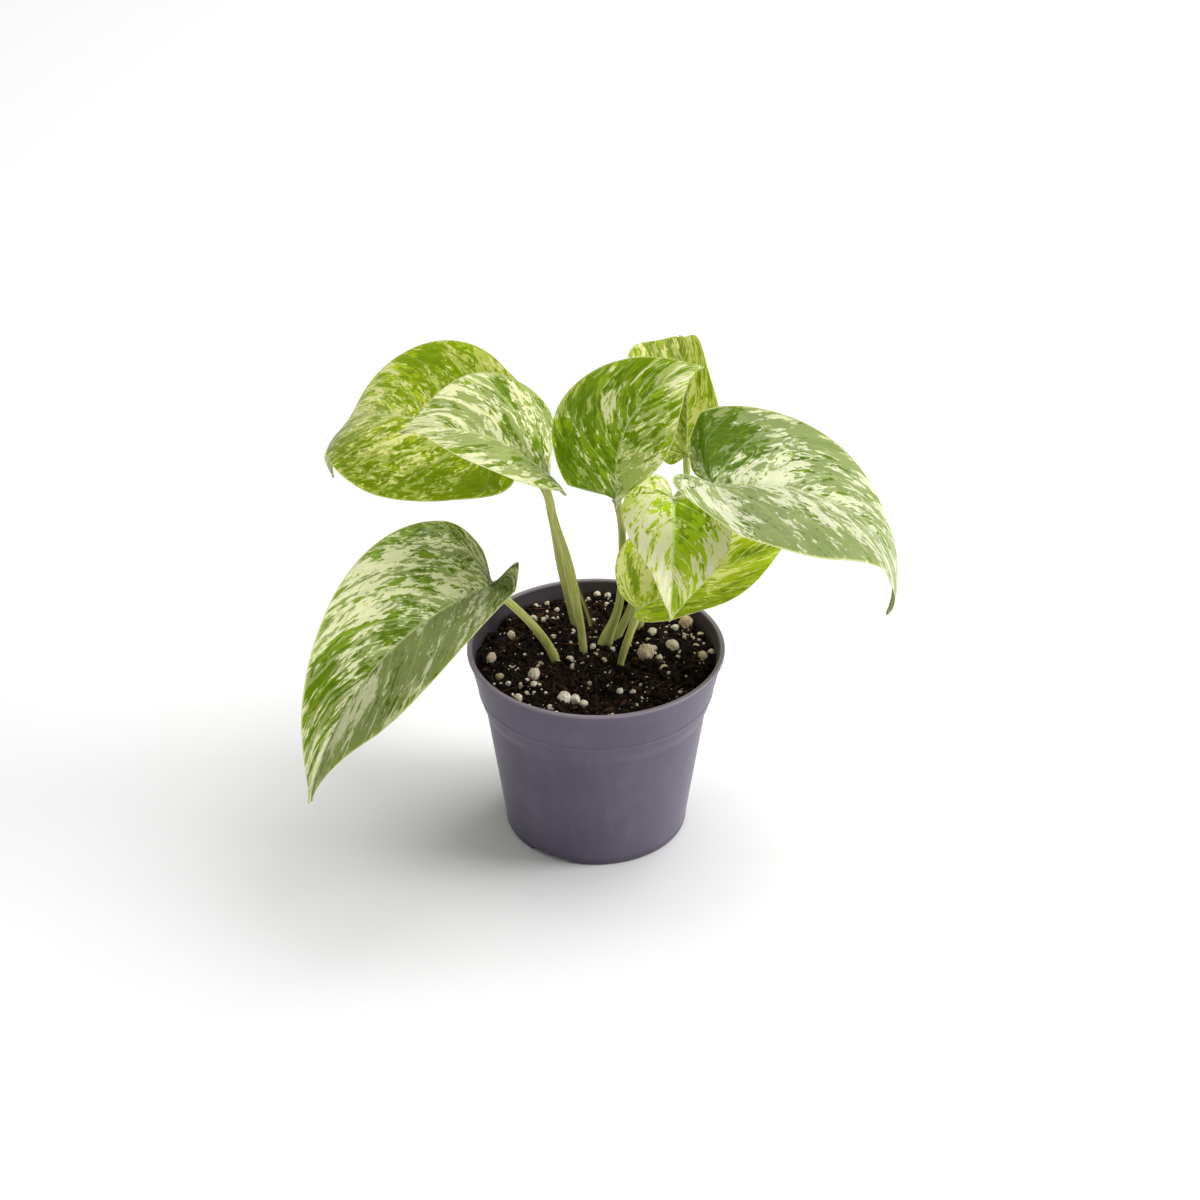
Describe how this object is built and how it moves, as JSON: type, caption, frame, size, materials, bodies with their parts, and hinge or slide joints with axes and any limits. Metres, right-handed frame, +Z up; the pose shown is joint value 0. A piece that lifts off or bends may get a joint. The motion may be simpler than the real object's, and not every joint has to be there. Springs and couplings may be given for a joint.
{
  "type": "potted plant",
  "caption": "Young marble queen pothos with variegated heart-shaped leaves on long stalks, in a round nursery pot filled with potting mix.",
  "frame": {"origin": "centre of the underside of the pot, where it stands on the floor", "axes": "+Z up along the pot's axis, +X to the plant's right seen from the front, -Y towards the front"},
  "size_m": [0.2259, 0.1816, 0.2015],
  "materials": {
    "pot": "satin",
    "soil": "matte",
    "leaf": "satin",
    "stalk": "satin",
    "sheath": "matte"
  },
  "bodies": {
    "root": {"pot": "pot", "soil": "soil", "leaf_upper_left": "leaf", "stalk_upper_left": "stalk", "leaf_middle_left": "leaf", "stalk_middle_left": "stalk", "leaf_centre": "leaf", "stalk_centre": "stalk", "leaf_back_right": "leaf", "stalk_back_right": "stalk", "leaf_right": "leaf", "stalk_right": "stalk", "leaf_front_small": "leaf", "stalk_front_small": "stalk", "leaf_lower_right": "leaf", "stalk_lower_right": "stalk", "leaf_lower_left": "leaf", "stalk_lower_left": "stalk", "sheath": "sheath"}
  },
  "joints": []
}
